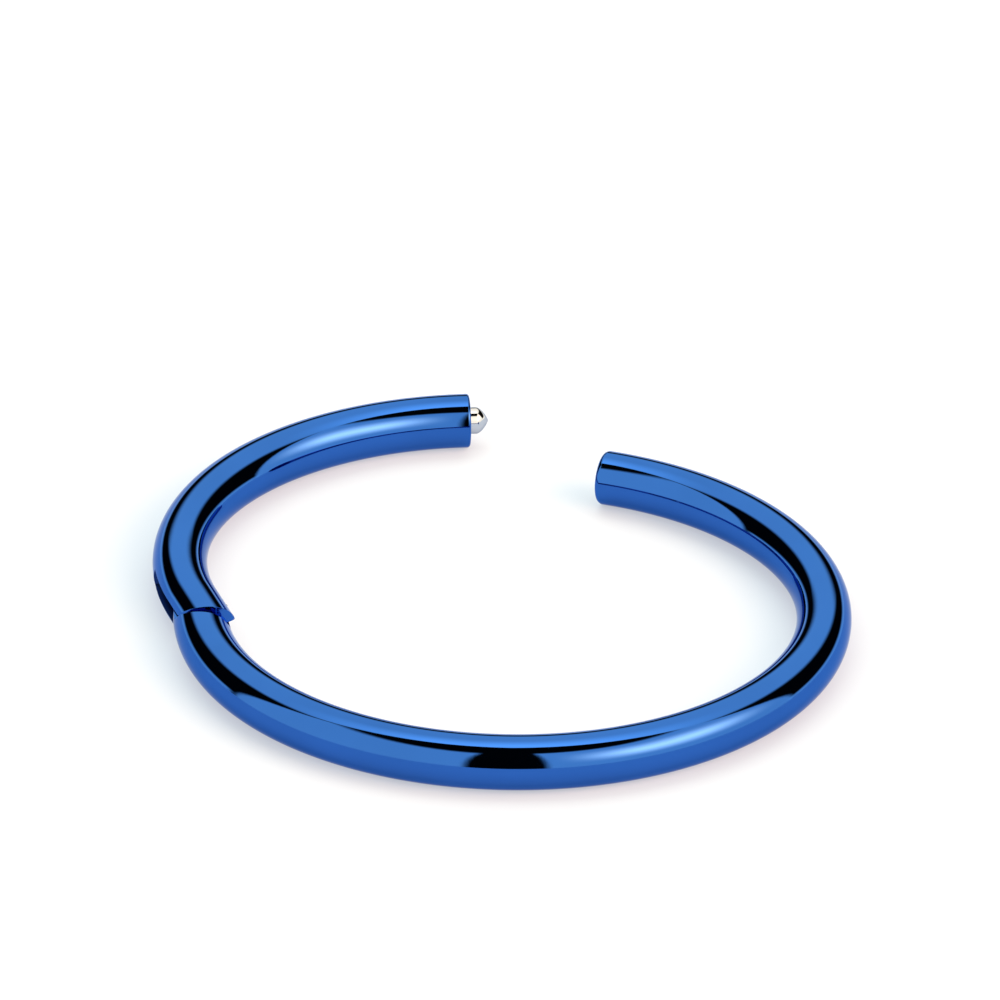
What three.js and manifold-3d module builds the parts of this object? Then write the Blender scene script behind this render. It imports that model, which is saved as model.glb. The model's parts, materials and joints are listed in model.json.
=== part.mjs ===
// A hinged segment ring for a piercing, shown with its gate swung open.
// Lengths are in millimetres and angles in degrees, with +Z along the ring's axis.
//
// The ring is modelled in its hinge's frame: the hinge pin stands on the origin, +X points out
// of the ring and +Y runs along the wire into the fixed segment. The whole ring is then turned
// round to its place and set down on the plane z = 0.

import * as THREE from 'three';
import { mergeVertices } from 'three/addons/utils/BufferGeometryUtils.js';
import Module from 'manifold-3d';

// Wire and ring
const wireDiameter = 1.0;
const innerDiameter = 10.3;
const gateArc = 108.15; // from the hinge pin to the clasp's seam

// Hinge
const hingeOffset = 0.1; // how far the hinge pin stands outside the middle of the wire
const hingePinDiameter = 0.32;
const hingePinCover = 0.13; // least height of metal over a hole's end, at the middle of the pin
const hingeRunningFit = 0.02; // round the pin in the tongue
const hingeSeatFit = 0.01; // round the pin and past its ends, in the ears
const tongueThickness = 0.24;
const tongueWall = 0.27; // metal round the pin at the tongue's nose
const tongueInnerRounding = 0.5;
const slotClearance = 0.03; // above and below the tongue
const slotEndClearance = 0.19; // from the tongue's nose to the slot's floor, on the inner side
const slotRunout = 1.76; // how much further the slot runs on the outer side
const earStraight = 0.4; // how far short of the hinge pin the gate's wire begins to run straight
const upperEar = { reach: 0.755, rounding: 0.76, innerRounding: 0.32 }; // reach past the hinge pin
const lowerEar = { reach: 0.46, rounding: 0.5, innerRounding: 0.6 };
const earSide = 0.03; // from the wire's sides to where the ears' roundings would start
const hingeSeam = 0.105; // between the ears' ends and the fixed segment's shoulders
const sideSeam = 0.03; // the same towards the ring's outer side
const shoulderSlant = 11; // how much the shoulders fall away towards the inner side

// Clasp
const claspSeam = 0.04; // between the gate's end and the fixed segment's, when shut
const claspPinDiameter = 0.495;
const claspPinStraight = 0.125;
const claspPinReach = 0.345; // from the gate's end face to the pin's tip
const domeSwell = 1.6; // powers in the dome's outline: a higher swell keeps it wide for longer,
const domeDraw = 0.8; // and a lower draw makes the tip blunter
const claspPinRoot = 0.6; // the stretch inside the gate
const claspSeatFit = 0.01;
const socketFit = 0.03;
const freeEndChamfer = 0.09;
const gateEndChamfer = 0.05;

// Pose
const hingeAngle = 181.7; // where the hinge stands round the ring, counted from +X
const openAngle = 20.4; // how far the gate is swung out

// Facets
const wireSides = 24;
const arcStep = 3;
const pinSides = 24;
const domeSteps = 6;
const roundingSteps = 6;

// Sizes that follow
const wireRadius = wireDiameter / 2;
const ringRadius = innerDiameter / 2 + wireRadius;
const centreX = -(ringRadius + hingeOffset);
const outerX = wireRadius - hingeOffset;
const innerX = -wireRadius - hingeOffset;
const hingePinRadius = hingePinDiameter / 2;
const noseRadius = hingePinRadius + tongueWall;
const slotHalf = tongueThickness / 2 + slotClearance;
const pinHoleHalf = Math.sqrt(wireRadius ** 2 - hingeOffset ** 2) - hingePinCover;
const claspPinRadius = claspPinDiameter / 2;
const halfGapAngle = THREE.MathUtils.radToDeg(claspSeam / 2 / ringRadius);
const gateEndAngle = -(gateArc - halfGapAngle);
const freeEndAngle = 360 - gateArc - halfGapAngle;

// Cutting solids stand this far past what they cut
const margin = 0.3;
const cutSpan = upperEar.reach + wireDiameter;

const wasm = await Module();
wasm.setup();

// The wire's middle line between two angles counted round the ring from the hinge. Past the
// bend it runs straight on for as long as the arc would have been.
class WireLine extends THREE.Curve {
  constructor(startAngle, endAngle, bendAngle) {
    super();
    this.startAngle = startAngle;
    this.endAngle = endAngle;
    this.bendAngle = bendAngle;
  }

  getPoint(u, target = new THREE.Vector3()) {
    const angle = THREE.MathUtils.lerp(this.startAngle, this.endAngle, u);
    const angleOnArc = Math.min(angle, this.bendAngle);
    const heading = THREE.MathUtils.degToRad(angleOnArc);
    const straight = THREE.MathUtils.degToRad(angle - angleOnArc) * ringRadius;
    const { x, y } = wirePoint(angleOnArc);
    return target.set(x - straight * Math.sin(heading), y + straight * Math.cos(heading), 0);
  }
}

function wirePoint(angle) {
  const a = THREE.MathUtils.degToRad(angle);
  return new THREE.Vector3(centreX + ringRadius * Math.cos(a), ringRadius * Math.sin(a), 0);
}

// The angle that a length along the wire takes up
function wireAngle(length) {
  return THREE.MathUtils.radToDeg(length / ringRadius);
}

// A section whose flat sides touch the wire's circle, with one flat side straight down
function wireSection() {
  const cornerRadius = wireRadius / Math.cos(Math.PI / wireSides);
  const corners = [];
  for (let i = 0; i < wireSides; i++) {
    const a = (2 * Math.PI * (i + 0.5)) / wireSides;
    corners.push(new THREE.Vector2(cornerRadius * Math.cos(a), cornerRadius * Math.sin(a)));
  }
  return new THREE.Shape(corners);
}

function wireGeometry(startAngle, endAngle, bendAngle) {
  return new THREE.ExtrudeGeometry(wireSection(), {
    extrudePath: new WireLine(startAngle, endAngle, bendAngle),
    steps: Math.ceil((endAngle - startAngle) / arcStep),
    bevelEnabled: false,
  });
}

// A flat shape in the ring's plane, raised from one height to another
function prism(shape, low, high) {
  const geometry = new THREE.ExtrudeGeometry(shape, {
    depth: high - low,
    curveSegments: roundingSteps,
    bevelEnabled: false,
  });
  return solid(geometry.translate(0, 0, low));
}

function rectangle(x0, y0, x1, y1) {
  return new THREE.Shape([
    new THREE.Vector2(x0, y0),
    new THREE.Vector2(x1, y0),
    new THREE.Vector2(x1, y1),
    new THREE.Vector2(x0, y1),
  ]);
}

// An upright cylinder on the hinge's axis
function hingeCylinder(radius, halfLength) {
  const geometry = new THREE.CylinderGeometry(radius, radius, 2 * halfLength, pinSides);
  return geometry.rotateX(Math.PI / 2);
}

// A turned shape on the wire's middle line at an angle, with its own +Y towards lower angles
function turnedOnWire(points, angle) {
  const geometry = new THREE.LatheGeometry(points, pinSides);
  geometry.rotateZ(THREE.MathUtils.degToRad(angle - 180));
  const { x, y } = wirePoint(angle);
  return geometry.translate(x, y, 0);
}

// A closed mesh, with its shared vertices merged, as a solid that can be cut
function solid(geometry) {
  const bare = geometry.clone();
  bare.deleteAttribute('normal');
  bare.deleteAttribute('uv');
  const merged = mergeVertices(bare);
  return new wasm.Manifold(
    new wasm.Mesh({
      numProp: 3,
      vertProperties: new Float32Array(merged.attributes.position.array),
      triVerts: new Uint32Array(merged.index.array),
    }),
  );
}

function cutGeometry(cutSolid) {
  const { vertProperties, triVerts } = cutSolid.getMesh();
  const geometry = new THREE.BufferGeometry();
  geometry.setAttribute('position', new THREE.BufferAttribute(vertProperties, 3));
  geometry.setIndex(new THREE.BufferAttribute(triVerts, 1));
  geometry.computeVertexNormals();
  return geometry;
}

function part(name, geometry, material) {
  const mesh = new THREE.Mesh(geometry, material);
  mesh.name = name;
  return mesh;
}

// What lies short of a side and of a reach, with the corner between them rounded off. The reach
// grows towards the far side by the slant.
function cornerShape(side, reach, rounding, slant) {
  const flatSpan = side - rounding + cutSpan;
  const shape = new THREE.Shape();
  shape.moveTo(-cutSpan, -cutSpan);
  shape.lineTo(side, -cutSpan);
  shape.lineTo(side, reach - rounding);
  shape.absarc(side - rounding, reach - rounding, rounding, 0, Math.PI / 2, false);
  shape.lineTo(-cutSpan, reach + flatSpan * Math.tan(THREE.MathUtils.degToRad(slant)));
  return shape;
}

// What lies past an ear's end, which is rounded off towards the outer and the inner side
function pastEar(ear, low, high) {
  const outer = cornerShape(outerX + earSide, ear.reach, ear.rounding, 0);
  const inner = cornerShape(earSide - innerX, ear.reach, ear.innerRounding, 0);
  const kept = prism(outer, low, high).intersect(prism(inner, low, high).mirror([1, 0, 0]));
  return prism(rectangle(-cutSpan, -noseRadius, cutSpan, cutSpan), low, high).subtract(kept);
}

// What the fixed segment leaves free for an ear: the ear's outline with the seam round it
function earSpace(ear, low, high) {
  const side = outerX + earSide + sideSeam;
  const shape = cornerShape(side, ear.reach + hingeSeam, ear.rounding + sideSeam, shoulderSlant);
  return prism(shape, low, high);
}

// What lies ahead of the tongue's nose: round about the pin, with the inner corner rounded off
function tongueShape() {
  const innerSide = innerX - slotClearance;
  const shape = new THREE.Shape();
  shape.moveTo(innerSide, cutSpan);
  shape.lineTo(innerSide, tongueInnerRounding - noseRadius);
  shape.absarc(
    innerSide + tongueInnerRounding,
    tongueInnerRounding - noseRadius,
    tongueInnerRounding,
    Math.PI,
    1.5 * Math.PI,
    false,
  );
  shape.absarc(0, 0, noseRadius, 1.5 * Math.PI, 2 * Math.PI, false);
  shape.lineTo(noseRadius, cutSpan);
  return shape;
}

// The slot between the ears, whose floor slants away towards the outer side
function slotShape() {
  const innerFloor = -(noseRadius + slotEndClearance);
  return new THREE.Shape([
    new THREE.Vector2(innerX - margin, innerFloor),
    new THREE.Vector2(innerX, innerFloor),
    new THREE.Vector2(outerX + margin, innerFloor - slotRunout),
    new THREE.Vector2(outerX + margin, cutSpan),
    new THREE.Vector2(innerX - margin, cutSpan),
  ]);
}

// A ring of metal to take off an end's edge, where +Y points out of the end
function chamferPoints(width) {
  return [
    new THREE.Vector2(wireRadius - width - margin, margin),
    new THREE.Vector2(wireRadius + margin, -width - margin),
    new THREE.Vector2(wireRadius + margin, margin),
    new THREE.Vector2(wireRadius - width - margin, margin),
  ];
}

// The pin's straight side ends in a dome that draws in to a small round tip
function claspPinPoints() {
  const points = [
    new THREE.Vector2(0, -claspPinRoot),
    new THREE.Vector2(claspPinRadius, -claspPinRoot),
    new THREE.Vector2(claspPinRadius, claspPinStraight),
  ];
  for (let i = 1; i <= domeSteps; i++) {
    const u = i / domeSteps;
    const rise = (claspPinReach - claspPinStraight) * u;
    const radius = claspPinRadius * (1 - u ** domeSwell) ** domeDraw;
    points.push(new THREE.Vector2(radius, claspPinStraight + rise));
  }
  return points;
}

function claspHolePoints() {
  const radius = claspPinRadius + claspSeatFit;
  const floor = -(claspPinRoot + claspSeatFit);
  return [
    new THREE.Vector2(0, floor),
    new THREE.Vector2(radius, floor),
    new THREE.Vector2(radius, margin),
    new THREE.Vector2(0, margin),
  ];
}

// The socket is flared, because the pin comes in slantwise as the gate swings home: it moves
// at right angles to the line from the hinge, and so sideways by this much for each unit in.
// The mouth lets through the part of the pin that comes in furthest to the side.
function socketPoints() {
  const sideways = Math.tan(THREE.MathUtils.degToRad(90 - gateArc / 2));
  const radius = claspPinRadius + socketFit;
  const flareDepth = (claspPinStraight + claspPinReach) / 2;
  const outermost = Math.max(...claspPinPoints().map(({ x, y }) => x + sideways * y));
  const mouthRadius = outermost + socketFit;
  const depth = claspPinReach + socketFit;
  return [
    new THREE.Vector2(0, -margin),
    new THREE.Vector2(mouthRadius, -margin),
    new THREE.Vector2(mouthRadius, 0),
    new THREE.Vector2(radius, flareDepth),
    new THREE.Vector2(radius, depth),
    new THREE.Vector2(0, depth),
  ];
}

function fixedSegment(material) {
  const height = wireRadius + margin;
  const start = -wireAngle(noseRadius + margin);
  const aheadOfNose = prism(tongueShape(), -height, height);
  const behindNose = prism(rectangle(-cutSpan, -cutSpan, cutSpan, 0), -height, height);
  const chamfer = new THREE.LatheGeometry(chamferPoints(freeEndChamfer), wireSides);
  chamfer.rotateZ(THREE.MathUtils.degToRad(freeEndAngle));
  chamfer.translate(wirePoint(freeEndAngle).x, wirePoint(freeEndAngle).y, 0);
  const body = solid(wireGeometry(start, freeEndAngle, freeEndAngle))
    .subtract(behindNose.subtract(aheadOfNose))
    .subtract(earSpace(upperEar, tongueThickness / 2, height))
    .subtract(earSpace(lowerEar, -height, -tongueThickness / 2))
    .subtract(solid(hingeCylinder(hingePinRadius + hingeRunningFit, height)))
    .subtract(solid(turnedOnWire(socketPoints(), freeEndAngle)))
    .subtract(solid(chamfer));
  return part('fixed_segment', cutGeometry(body), material);
}

function gateSegment(material) {
  const height = wireRadius + margin;
  const end = wireAngle(upperEar.reach + margin);
  const hingeHole = hingeCylinder(hingePinRadius + hingeSeatFit, pinHoleHalf);
  const body = solid(wireGeometry(gateEndAngle, end, -wireAngle(earStraight)))
    .subtract(pastEar(upperEar, 0, height))
    .subtract(pastEar(lowerEar, -height, 0))
    .subtract(prism(slotShape(), -slotHalf, slotHalf))
    .subtract(solid(hingeHole))
    .subtract(solid(turnedOnWire(claspHolePoints(), gateEndAngle)))
    .subtract(solid(turnedOnWire(chamferPoints(gateEndChamfer), gateEndAngle)));
  return part('gate_segment', cutGeometry(body), material);
}

function hingePin(material) {
  return part('hinge_pin', hingeCylinder(hingePinRadius, pinHoleHalf - hingeSeatFit), material);
}

function claspPin(material) {
  const mesh = part('clasp_pin', new THREE.LatheGeometry(claspPinPoints(), pinSides), material);
  mesh.rotation.z = THREE.MathUtils.degToRad(gateEndAngle - 180);
  mesh.position.copy(wirePoint(gateEndAngle));
  return mesh;
}

const blueMetal = { color: 0x1d5fc4, roughness: 0.08, metalness: 1 };
const silverMetal = { color: 0xd8d8da, roughness: 0.08, metalness: 1 };

const gate = new THREE.Group();
gate.add(gateSegment(new THREE.MeshStandardMaterial(blueMetal)));
gate.add(hingePin(new THREE.MeshStandardMaterial(silverMetal)));
gate.add(claspPin(new THREE.MeshStandardMaterial(silverMetal)));
gate.rotation.z = THREE.MathUtils.degToRad(openAngle);

const ring = new THREE.Group();
ring.add(fixedSegment(new THREE.MeshStandardMaterial(blueMetal)));
ring.add(gate);
ring.rotation.z = THREE.MathUtils.degToRad(hingeAngle);

// The origin is on the surface that the ring lies on, under the middle of its box
const noseRing = new THREE.Group();
noseRing.add(ring);
noseRing.updateMatrixWorld(true);
const box = new THREE.Box3().setFromObject(noseRing, true);
const middle = box.getCenter(new THREE.Vector3());
noseRing.position.set(-middle.x, -middle.y, -box.min.z);

export default noseRing;
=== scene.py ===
"""A hinged segment ring of polished blue wire, lying open on a pale surface in soft studio light.

Pieces are shaped in millimetres in the hinge's own frame, as when the ring is shut: the hinge pin
stands on the origin, +X points out of the ring and +Y runs along the wire into the fixed segment.
Each finished piece is then turned to its place and brought to metres.
"""

import json
import math

import bmesh
import bpy
from bpy.props import FloatProperty, FloatVectorProperty, PointerProperty
from mathutils import Matrix, Vector


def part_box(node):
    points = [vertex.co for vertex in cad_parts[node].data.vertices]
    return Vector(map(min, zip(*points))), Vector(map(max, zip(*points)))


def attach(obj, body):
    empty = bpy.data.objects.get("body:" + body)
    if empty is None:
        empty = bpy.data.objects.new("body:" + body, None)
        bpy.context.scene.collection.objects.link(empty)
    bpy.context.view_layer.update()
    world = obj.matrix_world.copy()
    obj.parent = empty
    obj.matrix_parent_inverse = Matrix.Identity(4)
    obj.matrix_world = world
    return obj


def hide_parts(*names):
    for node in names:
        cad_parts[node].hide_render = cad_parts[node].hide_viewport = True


bl_info = {
    "name": "Hinged segment ring",
    "version": (1, 0, 0),
    "blender": (4, 5, 0),
    "location": "View3D > Sidebar > Ring",
    "description": "Models a hinged ring for a piercing, its clasp pin, its finishes and its studio",
    "category": "Add Mesh",
}

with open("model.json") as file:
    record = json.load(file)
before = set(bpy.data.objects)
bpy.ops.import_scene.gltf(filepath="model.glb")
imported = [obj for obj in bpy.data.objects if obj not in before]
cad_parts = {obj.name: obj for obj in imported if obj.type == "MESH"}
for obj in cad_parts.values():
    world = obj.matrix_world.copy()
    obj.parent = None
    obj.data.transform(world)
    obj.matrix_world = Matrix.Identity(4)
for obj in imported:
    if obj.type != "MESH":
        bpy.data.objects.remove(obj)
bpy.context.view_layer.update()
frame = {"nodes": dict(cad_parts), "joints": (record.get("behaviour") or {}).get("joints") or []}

MM = 0.001
WIRE_SIDES = 96
HOLE_SIDES = 64
CORNER_STEPS = 24
END_STEPS = 8
DOME_STEPS = 20
FINE_STEP = math.radians(1.0)
MARGIN = 0.3
FAR = 1.8
ON_WIRE = 0.003
SMALL_EDGE = 0.006
HINGE_SPAN = 3
HOLE_RIM = 0.05
SEAT_FIT = 0.01
RUNNING_FIT = 0.02
SOCKET_FIT = 0.03
PIN_COVER = 0.13
PIN_HOLE_DEPTH = 0.3
CUT_OVERLAP = 0.01
CORNER_SLACK = 1e-4
WELD = 1e-5
SHARP_EDGE = math.radians(35)
SMOOTH_ANGLE = math.radians(32)
SAME_WAY = 0.99
DOME_SWELL = 1.6
DOME_DRAW = 0.8

# The studio's light. Bearings are counted from the camera's side to the right, and heights from
# the floor, both in degrees.
BOX_GLOW = 1.9
OVERHEAD_GLOW = 1.6
HOT_GLOW = 14
SCREEN_GLOW = 0.005
BACK_BEARING = 103
SCREEN_HEIGHT = 55
SCREEN_FALL = 0.64
SCREEN_LOWEST = 20

HINGE = frame["joints"][0]
HINGE_POINT = Vector(HINGE["pos_m"]) / MM
CLOSED_TURN = math.radians(HINGE["range_deg"][0])


class RingSizes(bpy.types.PropertyGroup):
    """Sizes of the ring, its hinge and its clasp."""

    wire: FloatProperty(
        name="Wire", description="Diameter of the wire", default=1.0 * MM, unit="LENGTH")
    inside: FloatProperty(
        name="Inside", description="Inner diameter of the shut ring", default=10.3 * MM, unit="LENGTH")
    gate_arc: FloatProperty(
        name="Gate arc", description="Arc of the gate, from the hinge pin to the clasp's seam",
        default=math.radians(108.15), subtype="ANGLE")
    clasp_seam: FloatProperty(
        name="Clasp seam", description="Gap between the two free ends of the shut ring",
        default=0.04 * MM, unit="LENGTH")
    hinge_seam: FloatProperty(
        name="Hinge seam", description="Gap between the ears and the fixed segment's shoulders",
        default=0.105 * MM, unit="LENGTH")
    side_seam: FloatProperty(
        name="Side seam", description="The same gap towards the ring's outer side",
        default=0.03 * MM, unit="LENGTH")
    shoulder_slant: FloatProperty(
        name="Shoulder slant", description="How much the shoulders fall away on the inner side",
        default=math.radians(11), subtype="ANGLE")
    hinge_offset: FloatProperty(
        name="Hinge offset", description="How far the pin stands outside the middle of the wire",
        default=0.1 * MM, unit="LENGTH")
    hinge_pin: FloatProperty(
        name="Hinge pin", description="Diameter of the hinge pin", default=0.32 * MM, unit="LENGTH")
    tongue: FloatProperty(
        name="Tongue", description="Thickness of the tongue between the ears",
        default=0.24 * MM, unit="LENGTH")
    tongue_wall: FloatProperty(
        name="Tongue wall", description="Metal round the pin at the tongue's nose",
        default=0.27 * MM, unit="LENGTH")
    tongue_rounding: FloatProperty(
        name="Tongue rounding", description="Radius of the tongue's inner corner",
        default=0.5 * MM, unit="LENGTH")
    slot: FloatProperty(
        name="Slot", description="Height of the slot between the ears", default=0.3 * MM, unit="LENGTH")
    slot_clearance: FloatProperty(
        name="Slot clearance", description="From the tongue's nose to the slot's floor",
        default=0.19 * MM, unit="LENGTH")
    slot_slope: FloatProperty(
        name="Slot slope", description="How steeply the slot's floor runs away to the outer side",
        default=math.radians(53.5), subtype="ANGLE")
    upper_ear: FloatVectorProperty(
        name="Upper ear", description="Reach past the pin, outer rounding and inner rounding",
        default=(0.755 * MM, 0.76 * MM, 0.32 * MM), unit="LENGTH")
    lower_ear: FloatVectorProperty(
        name="Lower ear", description="Reach past the pin, outer rounding and inner rounding",
        default=(0.46 * MM, 0.5 * MM, 0.6 * MM), unit="LENGTH")
    ear_straight: FloatProperty(
        name="Ear straight", description="How far short of the pin the gate's wire begins to run straight",
        default=0.4 * MM, unit="LENGTH")
    ear_side: FloatProperty(
        name="Ear side", description="From the wire's sides to where the ears' roundings would start",
        default=0.03 * MM, unit="LENGTH")
    edge: FloatProperty(
        name="Edge", description="Width of the broken edges at the hinge",
        default=0.02 * MM, unit="LENGTH")
    free_end: FloatProperty(
        name="Free end", description="Rounding of the fixed segment's free end",
        default=0.11 * MM, unit="LENGTH")
    gate_end: FloatProperty(
        name="Gate end", description="Rounding of the gate's free end", default=0.055 * MM, unit="LENGTH")
    clasp_pin: FloatProperty(
        name="Clasp pin", description="Diameter of the clasp pin", default=0.495 * MM, unit="LENGTH")
    clasp_reach: FloatProperty(
        name="Clasp reach", description="How far the clasp pin stands out of the gate",
        default=0.345 * MM, unit="LENGTH")
    clasp_straight: FloatProperty(
        name="Clasp straight", description="Straight stretch of the clasp pin before its dome",
        default=0.125 * MM, unit="LENGTH")
    socket_mouth: FloatProperty(
        name="Socket mouth", description="Diameter of the socket at its flared mouth",
        default=0.75 * MM, unit="LENGTH")


class RingColours(bpy.types.PropertyGroup):
    """Colours of the two metals, of the painted shade in the slot and of the studio."""

    blue: FloatVectorProperty(
        name="Blue metal", description="Colour of the plated wire", subtype="COLOR",
        default=(0.024, 0.108, 0.43), min=0.0, max=1.0)
    blue_edge: FloatVectorProperty(
        name="Blue metal, edge on", description="Tint of the plated wire where it is seen edge on",
        subtype="COLOR", default=(0.55, 0.65, 0.85), min=0.0, max=1.0)
    silver: FloatVectorProperty(
        name="Plain metal", description="Colour of the bare pins", subtype="COLOR",
        default=(0.5, 0.54, 0.62), min=0.0, max=1.0)
    # The slot's colour is painted shade: the walls between the ears are drawn dark for the shade that
    # falls there, not for a darker metal.
    slot: FloatVectorProperty(
        name="Slot", description="Colour of the dull metal in the milled slot", subtype="COLOR",
        default=(0.012, 0.03, 0.13), min=0.0, max=1.0)
    floor: FloatVectorProperty(
        name="Floor", description="Colour of the surface under the ring, white in the warm light",
        subtype="COLOR", default=(0.29, 0.385, 0.5), min=0.0, max=1.0)
    soft_light: FloatVectorProperty(
        name="Soft light", description="Colour of the soft boxes", subtype="COLOR",
        default=(1.0, 0.88, 0.68), min=0.0, max=1.0)
    warm_light: FloatVectorProperty(
        name="Warm light", description="Colour of the brightest part of the soft box on the right",
        subtype="COLOR", default=(1.0, 0.38, 0.15), min=0.0, max=1.0)


class Sizes:
    """The ring's sizes in millimetres, with those that follow from them."""

    def __init__(self, sizes):
        self.wire_radius = sizes.wire / MM / 2
        self.ring_radius = sizes.inside / MM / 2 + self.wire_radius
        self.hinge_seam = sizes.hinge_seam / MM
        self.side_seam = sizes.side_seam / MM
        self.shoulder_slant = sizes.shoulder_slant
        self.offset = sizes.hinge_offset / MM
        self.centre = Vector((-(self.ring_radius + self.offset), 0, 0))
        self.outer_x = self.wire_radius - self.offset
        self.inner_x = -self.wire_radius - self.offset
        self.pin_radius = sizes.hinge_pin / MM / 2
        self.nose_radius = self.pin_radius + sizes.tongue_wall / MM
        self.tongue = sizes.tongue / MM
        self.tongue_rounding = sizes.tongue_rounding / MM
        self.slot = sizes.slot / MM
        self.slot_floor = -(self.nose_radius + sizes.slot_clearance / MM)
        self.slot_slope = math.tan(sizes.slot_slope)
        self.upper_ear = [length / MM for length in sizes.upper_ear]
        self.lower_ear = [length / MM for length in sizes.lower_ear]
        self.ear_side = sizes.ear_side / MM
        self.bend = -self.wire_angle(sizes.ear_straight / MM)
        self.edge = sizes.edge / MM
        self.free_rounding = sizes.free_end / MM
        self.gate_rounding = sizes.gate_end / MM
        self.clasp_radius = sizes.clasp_pin / MM / 2
        self.clasp_reach = sizes.clasp_reach / MM
        self.clasp_straight = sizes.clasp_straight / MM
        self.mouth_radius = sizes.socket_mouth / MM / 2
        half_gap = sizes.clasp_seam / MM / 2 / self.ring_radius
        self.gate_end = -(sizes.gate_arc - half_gap)
        self.free_end = 2 * math.pi - sizes.gate_arc - half_gap

    def wire_point(self, angle):
        return self.centre + self.ring_radius * Vector((math.cos(angle), math.sin(angle), 0))

    def along(self, angle):
        return Vector((-math.sin(angle), math.cos(angle), 0))

    def wire_angle(self, length):
        return length / self.ring_radius

    def out_of_wire(self, point, straight_end):
        """The way from the wire's middle line to a point. The gate's wire has a straight end."""
        bend, along = self.wire_point(self.bend), self.along(self.bend)
        past_bend = (point - bend).dot(along)
        if straight_end and 0 < past_bend < FAR:
            return point - (bend + along * past_bend)
        out = point - self.centre
        out.z = 0
        return point - (self.centre + self.ring_radius * out.normalized())


def ring_sizes():
    return Sizes(bpy.context.scene.ring_sizes)


def deselect_all():
    if bpy.context.mode != "OBJECT":
        bpy.ops.object.mode_set(mode="OBJECT")
    bpy.ops.object.select_all(action="DESELECT")


def make_active(piece):
    deselect_all()
    piece.select_set(True)
    bpy.context.view_layer.objects.active = piece
    return piece


def start_ring(name, radius, sides, point, direction):
    """An open circle of vertices, square to a direction in the ring's plane."""
    deselect_all()
    bpy.ops.mesh.primitive_circle_add(vertices=sides, radius=radius)
    piece = bpy.context.object
    piece.name = piece.data.name = name
    half_step = Matrix.Rotation(math.pi / sides, 4, "Z")
    upright = Matrix.Rotation(math.pi / 2, 4, "X")
    heading = Matrix.Rotation(math.atan2(direction.y, direction.x) - math.pi / 2, 4, "Z")
    piece.matrix_world = Matrix.Translation(point) @ heading @ upright @ half_step
    bpy.ops.object.transform_apply(location=True, rotation=True, scale=True)
    bpy.ops.object.mode_set(mode="EDIT")
    bpy.ops.mesh.select_all(action="SELECT")
    return piece


def sweep(sizes, angle, steps):
    """Carries the selected ring of vertices round the ring's middle, as the wire goes."""
    bpy.ops.mesh.spin(steps=steps, angle=angle, center=sizes.centre, axis=(0, 0, -1))


def next_ring(move, scale, centre):
    """Extrudes the selected ring of vertices, moves it and scales it about its own centre."""
    bpy.ops.mesh.extrude_region()
    if move.length:
        bpy.ops.transform.translate(value=move)
    if scale != 1:
        bpy.ops.transform.resize(value=(scale, scale, scale), center_override=centre + move)


def turn_profile(point, direction, profile):
    """Carries the selected ring through a profile of (along, radius) places, and closes it if
    the last radius is zero."""
    place, radius = profile[0]
    for next_place, next_radius in profile[1:]:
        move = direction * (next_place - place)
        here = point + direction * place
        if next_radius > 0:
            next_ring(move, next_radius / radius, here)
        else:
            bpy.ops.mesh.extrude_region()
            if move.length:
                bpy.ops.transform.translate(value=move)
            bpy.ops.mesh.merge(type="CENTER")
        place, radius = next_place, next_radius


def rounded(place, radius, width, steps):
    """Profile places that round an outer edge off over a width, ahead of and inside a ring."""
    for i in range(1, steps + 1):
        a = math.pi / 2 * i / steps
        yield place + width * math.sin(a), radius - width * (1 - math.cos(a))


def box_tool(name, low, high):
    deselect_all()
    bpy.ops.mesh.primitive_cube_add(size=1)
    tool = bpy.context.object
    tool.name = name
    low, high = Vector(low), Vector(high)
    tool.matrix_world = Matrix.Translation((low + high) / 2) @ Matrix.Diagonal((*(high - low), 1))
    bpy.ops.object.transform_apply(location=True, rotation=True, scale=True)
    return tool


def round_corner(tool, x, y, radius, segments):
    """Rounds the upright edge of a box that stands at x, y."""
    make_active(tool)
    bpy.ops.object.mode_set(mode="EDIT")
    bpy.ops.mesh.select_all(action="DESELECT")
    mesh = bmesh.from_edit_mesh(tool.data)
    for edge in mesh.edges:
        ends = [v.co for v in edge.verts]
        if all(abs(p.x - x) < CORNER_SLACK and abs(p.y - y) < CORNER_SLACK for p in ends):
            edge.select_set(True)
    bmesh.update_edit_mesh(tool.data)
    bpy.ops.mesh.bevel(offset=radius, offset_type="OFFSET", segments=segments, affect="EDGES")
    bpy.ops.object.mode_set(mode="OBJECT")


def combine(piece, tool, operation, keep=False):
    modifier = piece.modifiers.new("Cut", "BOOLEAN")
    modifier.object = tool
    modifier.operation = operation
    modifier.solver = "EXACT"
    make_active(piece)
    bpy.ops.object.modifier_apply(modifier=modifier.name)
    if not keep:
        bpy.data.objects.remove(tool)


def hinge_cylinder(radius, half_length):
    deselect_all()
    bpy.ops.mesh.primitive_cylinder_add(vertices=HOLE_SIDES, radius=radius, depth=2 * half_length)
    return bpy.context.object


def corner_tool(side, reach, rounding, low, high):
    """What lies short of a side and of a reach, with the corner between them rounded off. A
    negative side is towards the middle of the ring."""
    beyond = -math.copysign(FAR, side)
    tool = box_tool("corner", (min(side, beyond), -FAR, low), (max(side, beyond), reach, high))
    round_corner(tool, side, reach, rounding, CORNER_STEPS)
    return tool


def past_ear(sizes, ear, low, high):
    """What lies past an ear's end, which is rounded off towards the outer and the inner side."""
    reach, outer, inner = ear
    low_end, high_end = low - MARGIN, high + MARGIN
    kept = corner_tool(sizes.outer_x + sizes.ear_side, reach, outer, low_end, high_end)
    tool = corner_tool(sizes.inner_x - sizes.ear_side, reach, inner, low_end - MARGIN, high_end + MARGIN)
    combine(kept, tool, "INTERSECT")
    past = box_tool("past_ear", (-FAR, -sizes.nose_radius, low), (FAR, FAR, high))
    combine(past, kept, "DIFFERENCE")
    return past


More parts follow.
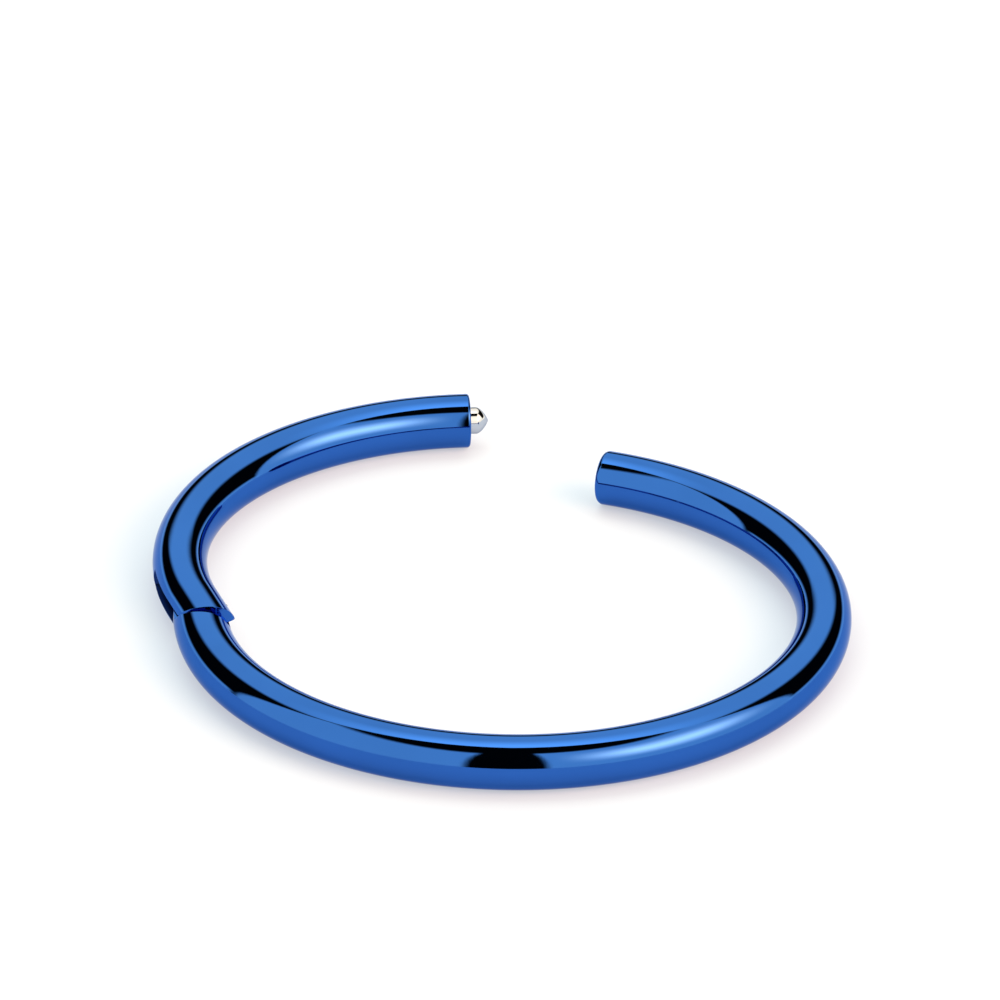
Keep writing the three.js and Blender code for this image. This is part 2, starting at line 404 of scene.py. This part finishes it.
def ear_space(sizes, ear, low, high):
    """What the fixed segment leaves free for an ear, falling away towards the inner side."""
    reach, rounding = ear[0] + sizes.hinge_seam, ear[1] + sizes.side_seam
    side = sizes.outer_x + sizes.ear_side + sizes.side_seam
    tool = corner_tool(side, reach, rounding, low, high)
    for vertex in tool.data.vertices:
        if vertex.co.x < -FAR / 2 and vertex.co.y > 0:
            vertex.co.y += (side - rounding + FAR) * math.tan(sizes.shoulder_slant)
    return tool


def break_edges(piece, sizes, width):
    """Bevels the sharp edges near the hinge, other than those of the pin's holes."""
    make_active(piece)
    bpy.ops.object.mode_set(mode="EDIT")
    bpy.ops.mesh.select_mode(type="VERT")
    bpy.ops.mesh.select_all(action="SELECT")
    bpy.ops.mesh.remove_doubles(threshold=SMALL_EDGE)
    bpy.ops.mesh.dissolve_degenerate(threshold=SMALL_EDGE)
    bpy.ops.mesh.select_mode(type="EDGE")
    bpy.ops.mesh.select_all(action="DESELECT")
    mesh = bmesh.from_edit_mesh(piece.data)
    hole = sizes.pin_radius + HOLE_RIM
    for edge in mesh.edges:
        middle = (edge.verts[0].co + edge.verts[1].co) / 2
        if middle.length > HINGE_SPAN or math.hypot(middle.x, middle.y) < hole or not edge.is_manifold:
            continue
        if edge.calc_face_angle(0) > SHARP_EDGE:
            edge.select_set(True)
    bmesh.update_edit_mesh(piece.data)
    bpy.ops.mesh.bevel(offset=width, offset_type="OFFSET", segments=2, affect="EDGES", clamp_overlap=True)
    bpy.ops.object.mode_set(mode="OBJECT")


def finish_piece(piece, sizes, turn, body, nodes):
    """Turns a piece to its place, brings it to metres and ties it to the frame."""
    make_active(piece)
    bpy.ops.object.mode_set(mode="EDIT")
    bpy.ops.mesh.select_all(action="SELECT")
    bpy.ops.mesh.remove_doubles(threshold=WELD)
    bpy.ops.mesh.normals_make_consistent(inside=False)
    bpy.ops.object.mode_set(mode="OBJECT")
    bpy.ops.object.shade_smooth_by_angle(angle=SMOOTH_ANGLE)
    wire_normals(piece, sizes, body == "gate")
    piece.matrix_world = (Matrix.Diagonal((MM, MM, MM, 1)) @ Matrix.Translation(HINGE_POINT)
                          @ Matrix.Rotation(turn, 4, "Z"))
    bpy.ops.object.transform_apply(location=True, rotation=True, scale=True)
    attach(piece, body)
    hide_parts(*nodes)
    return piece


def wire_normals(piece, sizes, straight_end):
    """Gives the faces that lie on the wire the wire's own normals, so that the cuts beside them
    leave no mark in what they mirror."""
    mesh = piece.data
    normals = [corner.vector.copy() for corner in mesh.corner_normals]
    for face in mesh.polygons:
        out = sizes.out_of_wire(face.center, straight_end)
        off_wire = abs(out.length - sizes.wire_radius) > ON_WIRE
        if off_wire or out.normalized().dot(face.normal) < SAME_WAY:
            continue
        for index in face.loop_indices:
            point = mesh.vertices[mesh.loops[index].vertex_index].co
            normals[index] = sizes.out_of_wire(point, straight_end).normalized()
    mesh.normals_split_custom_set(normals)


def fixed_turn(sizes):
    """How far the hinge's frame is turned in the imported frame, from the fixed segment's box."""
    low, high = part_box("fixed_segment")
    outer = sizes.ring_radius + sizes.wire_radius
    centre = Vector((high.x / MM - outer, low.y / MM + outer, 0))
    out = HINGE_POINT.to_2d() - centre.to_2d()
    return math.atan2(out.y, out.x)


class Shade:
    """A shader socket, or a plain value, that takes part in Python expressions."""

    def __init__(self, maker, socket):
        self.maker = maker
        self.socket = socket

    def math(self, operation, *others):
        return self.maker.node("ShaderNodeMath", {"operation": operation}, {
            i: value for i, value in enumerate((self, *others))})

    def __add__(self, other):
        return self.math("ADD", other)

    def __sub__(self, other):
        return self.math("SUBTRACT", other)

    def __mul__(self, other):
        return self.math("MULTIPLY", other)

    def __rsub__(self, other):
        return self.maker.node("ShaderNodeMath", {"operation": "SUBTRACT"}, {0: other, 1: self})

    def __truediv__(self, other):
        return self.math("DIVIDE", other)

    __radd__ = __add__
    __rmul__ = __mul__


class Maker:
    """Adds nodes to one tree."""

    def __init__(self, tree):
        self.tree = tree

    def node(self, kind, settings=None, inputs=None, output=0):
        node = self.tree.nodes.new(kind)
        for name, value in (settings or {}).items():
            setattr(node, name, value)
        for key, value in (inputs or {}).items():
            if isinstance(value, Shade):
                self.tree.links.new(value.socket, node.inputs[key])
            else:
                node.inputs[key].default_value = value
        return Shade(self, node.outputs[output]) if node.outputs else None

    def mix(self, factor, first, second):
        return self.node("ShaderNodeMix", {"data_type": "RGBA"}, {0: factor, 6: first, 7: second}, 2)

    def step(self, value, low, high):
        """0 below low, 1 above high and a smooth rise between them."""
        return self.node("ShaderNodeMapRange", {"interpolation_type": "SMOOTHSTEP"}, {
            "Value": value, "From Min": low, "From Max": high, "To Min": 0.0, "To Max": 1.0})

    def band(self, value, low, high, soft):
        return self.step(value, low - soft, low + soft) * (1 - self.step(value, high - soft, high + soft))


def new_material(name):
    material = bpy.data.materials.new(name)
    material.use_nodes = True
    tree = material.node_tree
    tree.nodes.clear()
    return material, Maker(tree)


def metal(name, colour, edge, roughness):
    """Metal with faint polishing marks and a little unevenness in its tone."""
    material, make = new_material(name)
    place = make.node("ShaderNodeTexCoord", output=3)
    tone = make.node("ShaderNodeTexNoise", None, {"Vector": place, "Scale": 420.0, "Detail": 3.0})
    marks = make.node("ShaderNodeTexNoise", None, {"Vector": place, "Scale": 9000.0, "Detail": 2.0})
    deep = (*[c * 0.96 for c in colour], 1)
    bright = (*[min(c * 1.03, 1.0) for c in colour], 1)
    tint = make.mix(make.step(tone, 0.35, 0.65), deep, bright)
    bump = make.node("ShaderNodeBump", None, {"Strength": 0.02, "Distance": 0.00001, "Height": marks})
    shader = make.node("ShaderNodeBsdfPrincipled", None, {
        "Base Color": tint,
        "Metallic": 1.0,
        "Roughness": roughness + 0.02 * make.step(marks, 0.5, 0.8),
        "Specular Tint": (*edge, 1),
        "Normal": bump,
    })
    make.node("ShaderNodeOutputMaterial", None, {"Surface": shader})
    return material


def dress(piece, material):
    piece.data.materials.clear()
    piece.data.materials.append(material)


def colours():
    return bpy.context.scene.ring_colours


def blue_metal():
    c = colours()
    return bpy.data.materials.get("polished_blue") or metal("polished_blue", c.blue, c.blue_edge, 0.03)


def silver_metal():
    c = colours()
    return bpy.data.materials.get("polished_steel") or metal("polished_steel", c.silver, c.silver, 0.03)


def paint_slot_shade(piece, sizes, turn):
    """Dresses the walls of the milled slot in a rough metal whose dark colour is painted shade, for the
    shade that falls between the ears.
    """
    piece.data.materials.append(metal("slot_painted_shade", colours().slot, colours().slot, 0.45))
    back = Matrix.Rotation(-turn, 4, "Z") @ Matrix.Translation(-HINGE_POINT)
    height = sizes.slot / 2 + sizes.edge / 2
    for face in piece.data.polygons:
        middle = back @ (face.center / MM)
        inside = sizes.out_of_wire(middle, True).length < sizes.wire_radius - ON_WIRE
        if inside and abs(middle.z) < height and middle.length < HINGE_SPAN:
            face.material_index = 1


class RING_OT_fixed_segment(bpy.types.Operator):
    """Adds the long arc of wire, with its tongue and its socket"""

    bl_idname = "ring.fixed_segment"
    bl_label = "Fixed segment"

    def execute(self, context):
        s = ring_sizes()
        start = -s.wire_angle(s.nose_radius + MARGIN)
        point = s.wire_point(start)
        piece = start_ring("fixed_wire", s.wire_radius, WIRE_SIDES, point, s.along(start))
        bpy.ops.mesh.edge_face_add()
        width = s.free_rounding
        arc = s.free_end - s.wire_angle(width) - start
        sweep(s, arc, round(arc / FINE_STEP))
        hole = s.clasp_radius + SOCKET_FIT
        flare = (s.clasp_straight + s.clasp_reach) / 2
        floor = s.clasp_reach + SOCKET_FIT
        profile = [(-width, s.wire_radius)]
        profile += list(rounded(-width, s.wire_radius, width, END_STEPS))
        profile += [(0, s.mouth_radius), (-flare, hole), (-floor, hole), (-floor, 0)]
        turn_profile(s.wire_point(s.free_end), s.along(s.free_end), profile)
        bpy.ops.object.mode_set(mode="OBJECT")
        self.cut_hinge(s, piece)
        finish_piece(piece, s, fixed_turn(s), "fixed", ["fixed_segment"])
        dress(piece, blue_metal())
        return {"FINISHED"}

    def cut_hinge(self, s, piece):
        height = s.wire_radius + MARGIN
        behind = box_tool("behind_nose", (-FAR, -FAR, -height), (FAR, CUT_OVERLAP, height))
        inner = s.inner_x - s.ear_side
        tongue = box_tool("tongue", (inner, -s.nose_radius, -2 * height), (s.nose_radius, FAR, 2 * height))
        round_corner(tongue, s.nose_radius, -s.nose_radius, s.nose_radius, CORNER_STEPS)
        round_corner(tongue, inner, -s.nose_radius, s.tongue_rounding, CORNER_STEPS)
        combine(behind, tongue, "DIFFERENCE")
        combine(piece, behind, "DIFFERENCE")
        combine(piece, ear_space(s, s.upper_ear, s.tongue / 2, height), "DIFFERENCE")
        combine(piece, ear_space(s, s.lower_ear, -height, -s.tongue / 2), "DIFFERENCE")
        combine(piece, hinge_cylinder(s.pin_radius + RUNNING_FIT, height), "DIFFERENCE")
        break_edges(piece, s, s.edge)


class RING_OT_gate_segment(bpy.types.Operator):
    """Adds the short arc of wire, with its ears and the slot between them"""

    bl_idname = "ring.gate_segment"
    bl_label = "Gate segment"

    def execute(self, context):
        s = ring_sizes()
        along = s.along(s.bend)
        start = s.wire_point(s.bend) + along * FAR
        piece = start_ring("gate_wire", s.wire_radius, WIRE_SIDES, start, along)
        bpy.ops.mesh.edge_face_add()
        next_ring(-along * FAR, 1, start)
        width = s.gate_rounding
        arc = s.bend - (s.gate_end + s.wire_angle(width))
        sweep(s, -arc, round(arc / FINE_STEP))
        hole = s.clasp_radius + SEAT_FIT
        profile = [(-width, s.wire_radius)]
        profile += list(rounded(-width, s.wire_radius, width, END_STEPS))
        profile += [(0, hole), (-PIN_HOLE_DEPTH, hole), (-PIN_HOLE_DEPTH, 0)]
        turn_profile(s.wire_point(s.gate_end), -s.along(s.gate_end), profile)
        bpy.ops.object.mode_set(mode="OBJECT")
        self.cut_hinge(s, piece)
        turn = fixed_turn(s) - CLOSED_TURN
        finish_piece(piece, s, turn, "gate", ["gate_segment"])
        dress(piece, blue_metal())
        paint_slot_shade(piece, s, turn)
        return {"FINISHED"}

    def cut_hinge(self, s, piece):
        height = s.wire_radius + MARGIN
        combine(piece, past_ear(s, s.upper_ear, 0, height), "DIFFERENCE")
        combine(piece, past_ear(s, s.lower_ear, -height, 0), "DIFFERENCE")
        low = (s.inner_x - MARGIN, s.slot_floor, -s.slot / 2)
        slot = box_tool("slot", low, (s.outer_x + MARGIN, FAR, s.slot / 2))
        for vertex in slot.data.vertices:
            if vertex.co.y < 0:
                vertex.co.y -= s.slot_slope * (vertex.co.x - s.inner_x)
        combine(piece, slot, "DIFFERENCE")
        hole_half = math.sqrt(s.wire_radius ** 2 - s.offset ** 2) - PIN_COVER
        combine(piece, hinge_cylinder(s.pin_radius + SEAT_FIT, hole_half), "DIFFERENCE")
        break_edges(piece, s, s.edge)


class RING_OT_clasp_pin(bpy.types.Operator):
    """Adds the domed pin in the gate's end"""

    bl_idname = "ring.clasp_pin"
    bl_label = "Clasp pin"

    def execute(self, context):
        s = ring_sizes()
        direction = -s.along(s.gate_end)
        root = PIN_HOLE_DEPTH - SEAT_FIT
        straight = s.clasp_straight
        point = s.wire_point(s.gate_end)
        piece = start_ring("clasp_stud", s.clasp_radius, HOLE_SIDES, point - direction * root, direction)
        bpy.ops.mesh.edge_face_add()
        profile = [(-root, s.clasp_radius), (straight, s.clasp_radius)]
        for i in range(1, DOME_STEPS + 1):
            u = math.sin(math.pi / 2 * i / DOME_STEPS)
            radius = s.clasp_radius * (1 - u ** DOME_SWELL) ** DOME_DRAW if i < DOME_STEPS else 0
            profile.append((straight + (s.clasp_reach - straight) * u, radius))
        turn_profile(point, direction, profile)
        bpy.ops.object.mode_set(mode="OBJECT")
        finish_piece(piece, s, fixed_turn(s) - CLOSED_TURN, "gate", ["clasp_pin"])
        dress(piece, silver_metal())
        dress(frame["nodes"]["hinge_pin"], silver_metal())
        return {"FINISHED"}


class RING_OT_studio(bpy.types.Operator):
    """Adds the pale floor, the soft studio light and the camera"""

    bl_idname = "ring.studio"
    bl_label = "Studio"

    def execute(self, context):
        self.add_floor()
        self.add_light()
        self.add_top_light()
        self.add_camera()
        context.scene.view_settings.view_transform = "Standard"
        return {"FINISHED"}

    def add_floor(self):
        deselect_all()
        bpy.ops.mesh.primitive_circle_add(vertices=96, radius=3.0, fill_type="NGON")
        floor = bpy.context.object
        floor.name = "pale_floor"
        material, make = new_material("pale_floor")
        pale = (*colours().floor, 1)
        shader = make.node("ShaderNodeBsdfPrincipled", None, {
            "Base Color": pale,
            "Roughness": 1.0,
            "Specular IOR Level": 0.0,
            "Emission Color": (1, 1, 1, 1),
            "Emission Strength": 0.45,
        })
        make.node("ShaderNodeOutputMaterial", None, {"Surface": shader})
        floor.data.materials.append(material)

    def add_light(self):
        """Soft boxes and dark screens round the ring, painted on the sky by bearing and height."""
        world = bpy.data.worlds.new("studio")
        bpy.context.scene.world = world
        world.use_nodes = True
        tree = world.node_tree
        tree.nodes.clear()
        make = Maker(tree)
        direction = make.node("ShaderNodeTexCoord", output=0)
        parts = tree.nodes.new("ShaderNodeSeparateXYZ")
        tree.links.new(direction.socket, parts.inputs[0])
        x, y, z = (Shade(make, parts.outputs[i]) for i in range(3))
        bearing = x.math("ARCTAN2", 0 - y) * math.degrees(1)
        height = z.math("ARCSINE") * math.degrees(1)
        side = bearing.math("ABSOLUTE")
        right_box = make.band(bearing, 12, BACK_BEARING, 2) * make.band(height, -3, 62, 3)
        hot = right_box * make.band(bearing, 32, 86, 18) * make.band(height, 24, 44, 14) * HOT_GLOW
        left_box = make.band(bearing, -100, -15, 2) * make.band(height, -3, 60, 4)
        fall = (side - BACK_BEARING) * SCREEN_FALL
        screen_top = (SCREEN_HEIGHT - fall).math("MAXIMUM", SCREEN_LOWEST)
        over_screens = make.step(height - screen_top, -5, 5) + (1 - make.step(height, 3, 8))
        back = make.step(side, BACK_BEARING - 3, BACK_BEARING + 3) * over_screens
        overhead = make.step(height, 50, 85)
        boxes = (right_box + left_box + back) * BOX_GLOW
        light = boxes + back * overhead * OVERHEAD_GLOW + hot + SCREEN_GLOW
        tint = make.mix(hot / light, (*colours().soft_light, 1), (*colours().warm_light, 1))
        shader = make.node("ShaderNodeBackground", None, {"Color": tint, "Strength": light})
        make.node("ShaderNodeOutputWorld", None, {"Surface": shader})

    def add_top_light(self):
        """A broad light from above and behind, which brightens the floor but isn't mirrored."""
        data = bpy.data.lights.new("top_light", "SUN")
        data.energy = 0.8
        data.angle = math.radians(90)
        light = bpy.data.objects.new("top_light", data)
        light.rotation_euler = (math.radians(-25), 0, 0)
        light.visible_glossy = False
        bpy.context.scene.collection.objects.link(light)

    def add_camera(self):
        """A long lens, placed by the fit of the ring's outline to the photograph."""
        s = ring_sizes()
        picture = 1000
        focal_pixels = 15000
        sensor = 36.0
        look_down = math.radians(27.49)
        roll = math.radians(-0.62)
        shift = Vector((0.0393, -0.3638, 48.1016)) * s.ring_radius * MM
        low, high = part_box("fixed_segment")
        outer = (s.ring_radius + s.wire_radius) * MM
        centre = Vector((high.x - outer, low.y + outer, s.wire_radius * MM))
        forward = Vector((0, math.cos(look_down), -math.sin(look_down)))
        level = Vector((1, 0, 0))
        raised = Vector((0, math.sin(look_down), math.cos(look_down)))
        right = math.cos(roll) * level - math.sin(roll) * raised
        up = math.sin(roll) * level + math.cos(roll) * raised
        place = centre - right * shift.x - up * shift.y - forward * shift.z
        data = bpy.data.cameras.new("camera")
        data.sensor_width = sensor
        data.lens = focal_pixels * sensor / picture
        data.clip_start = 0.01
        data.clip_end = 20
        camera = bpy.data.objects.new("camera", data)
        bpy.context.scene.collection.objects.link(camera)
        axes = Matrix((right, up, -forward)).transposed().to_4x4()
        camera.matrix_world = Matrix.Translation(place) @ axes
        bpy.context.scene.camera = camera


class RING_PT_panel(bpy.types.Panel):
    """The ring's sizes and colours, with its steps in order"""

    bl_idname = "RING_PT_panel"
    bl_label = "Hinged ring"
    bl_space_type = "VIEW_3D"
    bl_region_type = "UI"
    bl_category = "Ring"

    def draw(self, context):
        for group in (context.scene.ring_sizes, context.scene.ring_colours):
            for name in group.bl_rna.properties.keys():
                if name not in ("rna_type", "name"):
                    self.layout.prop(group, name)
        for operator in OPERATORS:
            self.layout.operator(operator.bl_idname)


OPERATORS = (
    RING_OT_fixed_segment,
    RING_OT_gate_segment,
    RING_OT_clasp_pin,
    RING_OT_studio,
)
CLASSES = (RingSizes, RingColours, *OPERATORS, RING_PT_panel)


def register():
    for cls in CLASSES:
        bpy.utils.register_class(cls)
    bpy.types.Scene.ring_sizes = PointerProperty(type=RingSizes)
    bpy.types.Scene.ring_colours = PointerProperty(type=RingColours)


def unregister():
    del bpy.types.Scene.ring_colours
    del bpy.types.Scene.ring_sizes
    for cls in reversed(CLASSES):
        bpy.utils.unregister_class(cls)


def main():
    register()
    bpy.ops.ring.fixed_segment()
    bpy.ops.ring.gate_segment()
    bpy.ops.ring.clasp_pin()
    bpy.ops.ring.studio()


if __name__ == "__main__":
    main()
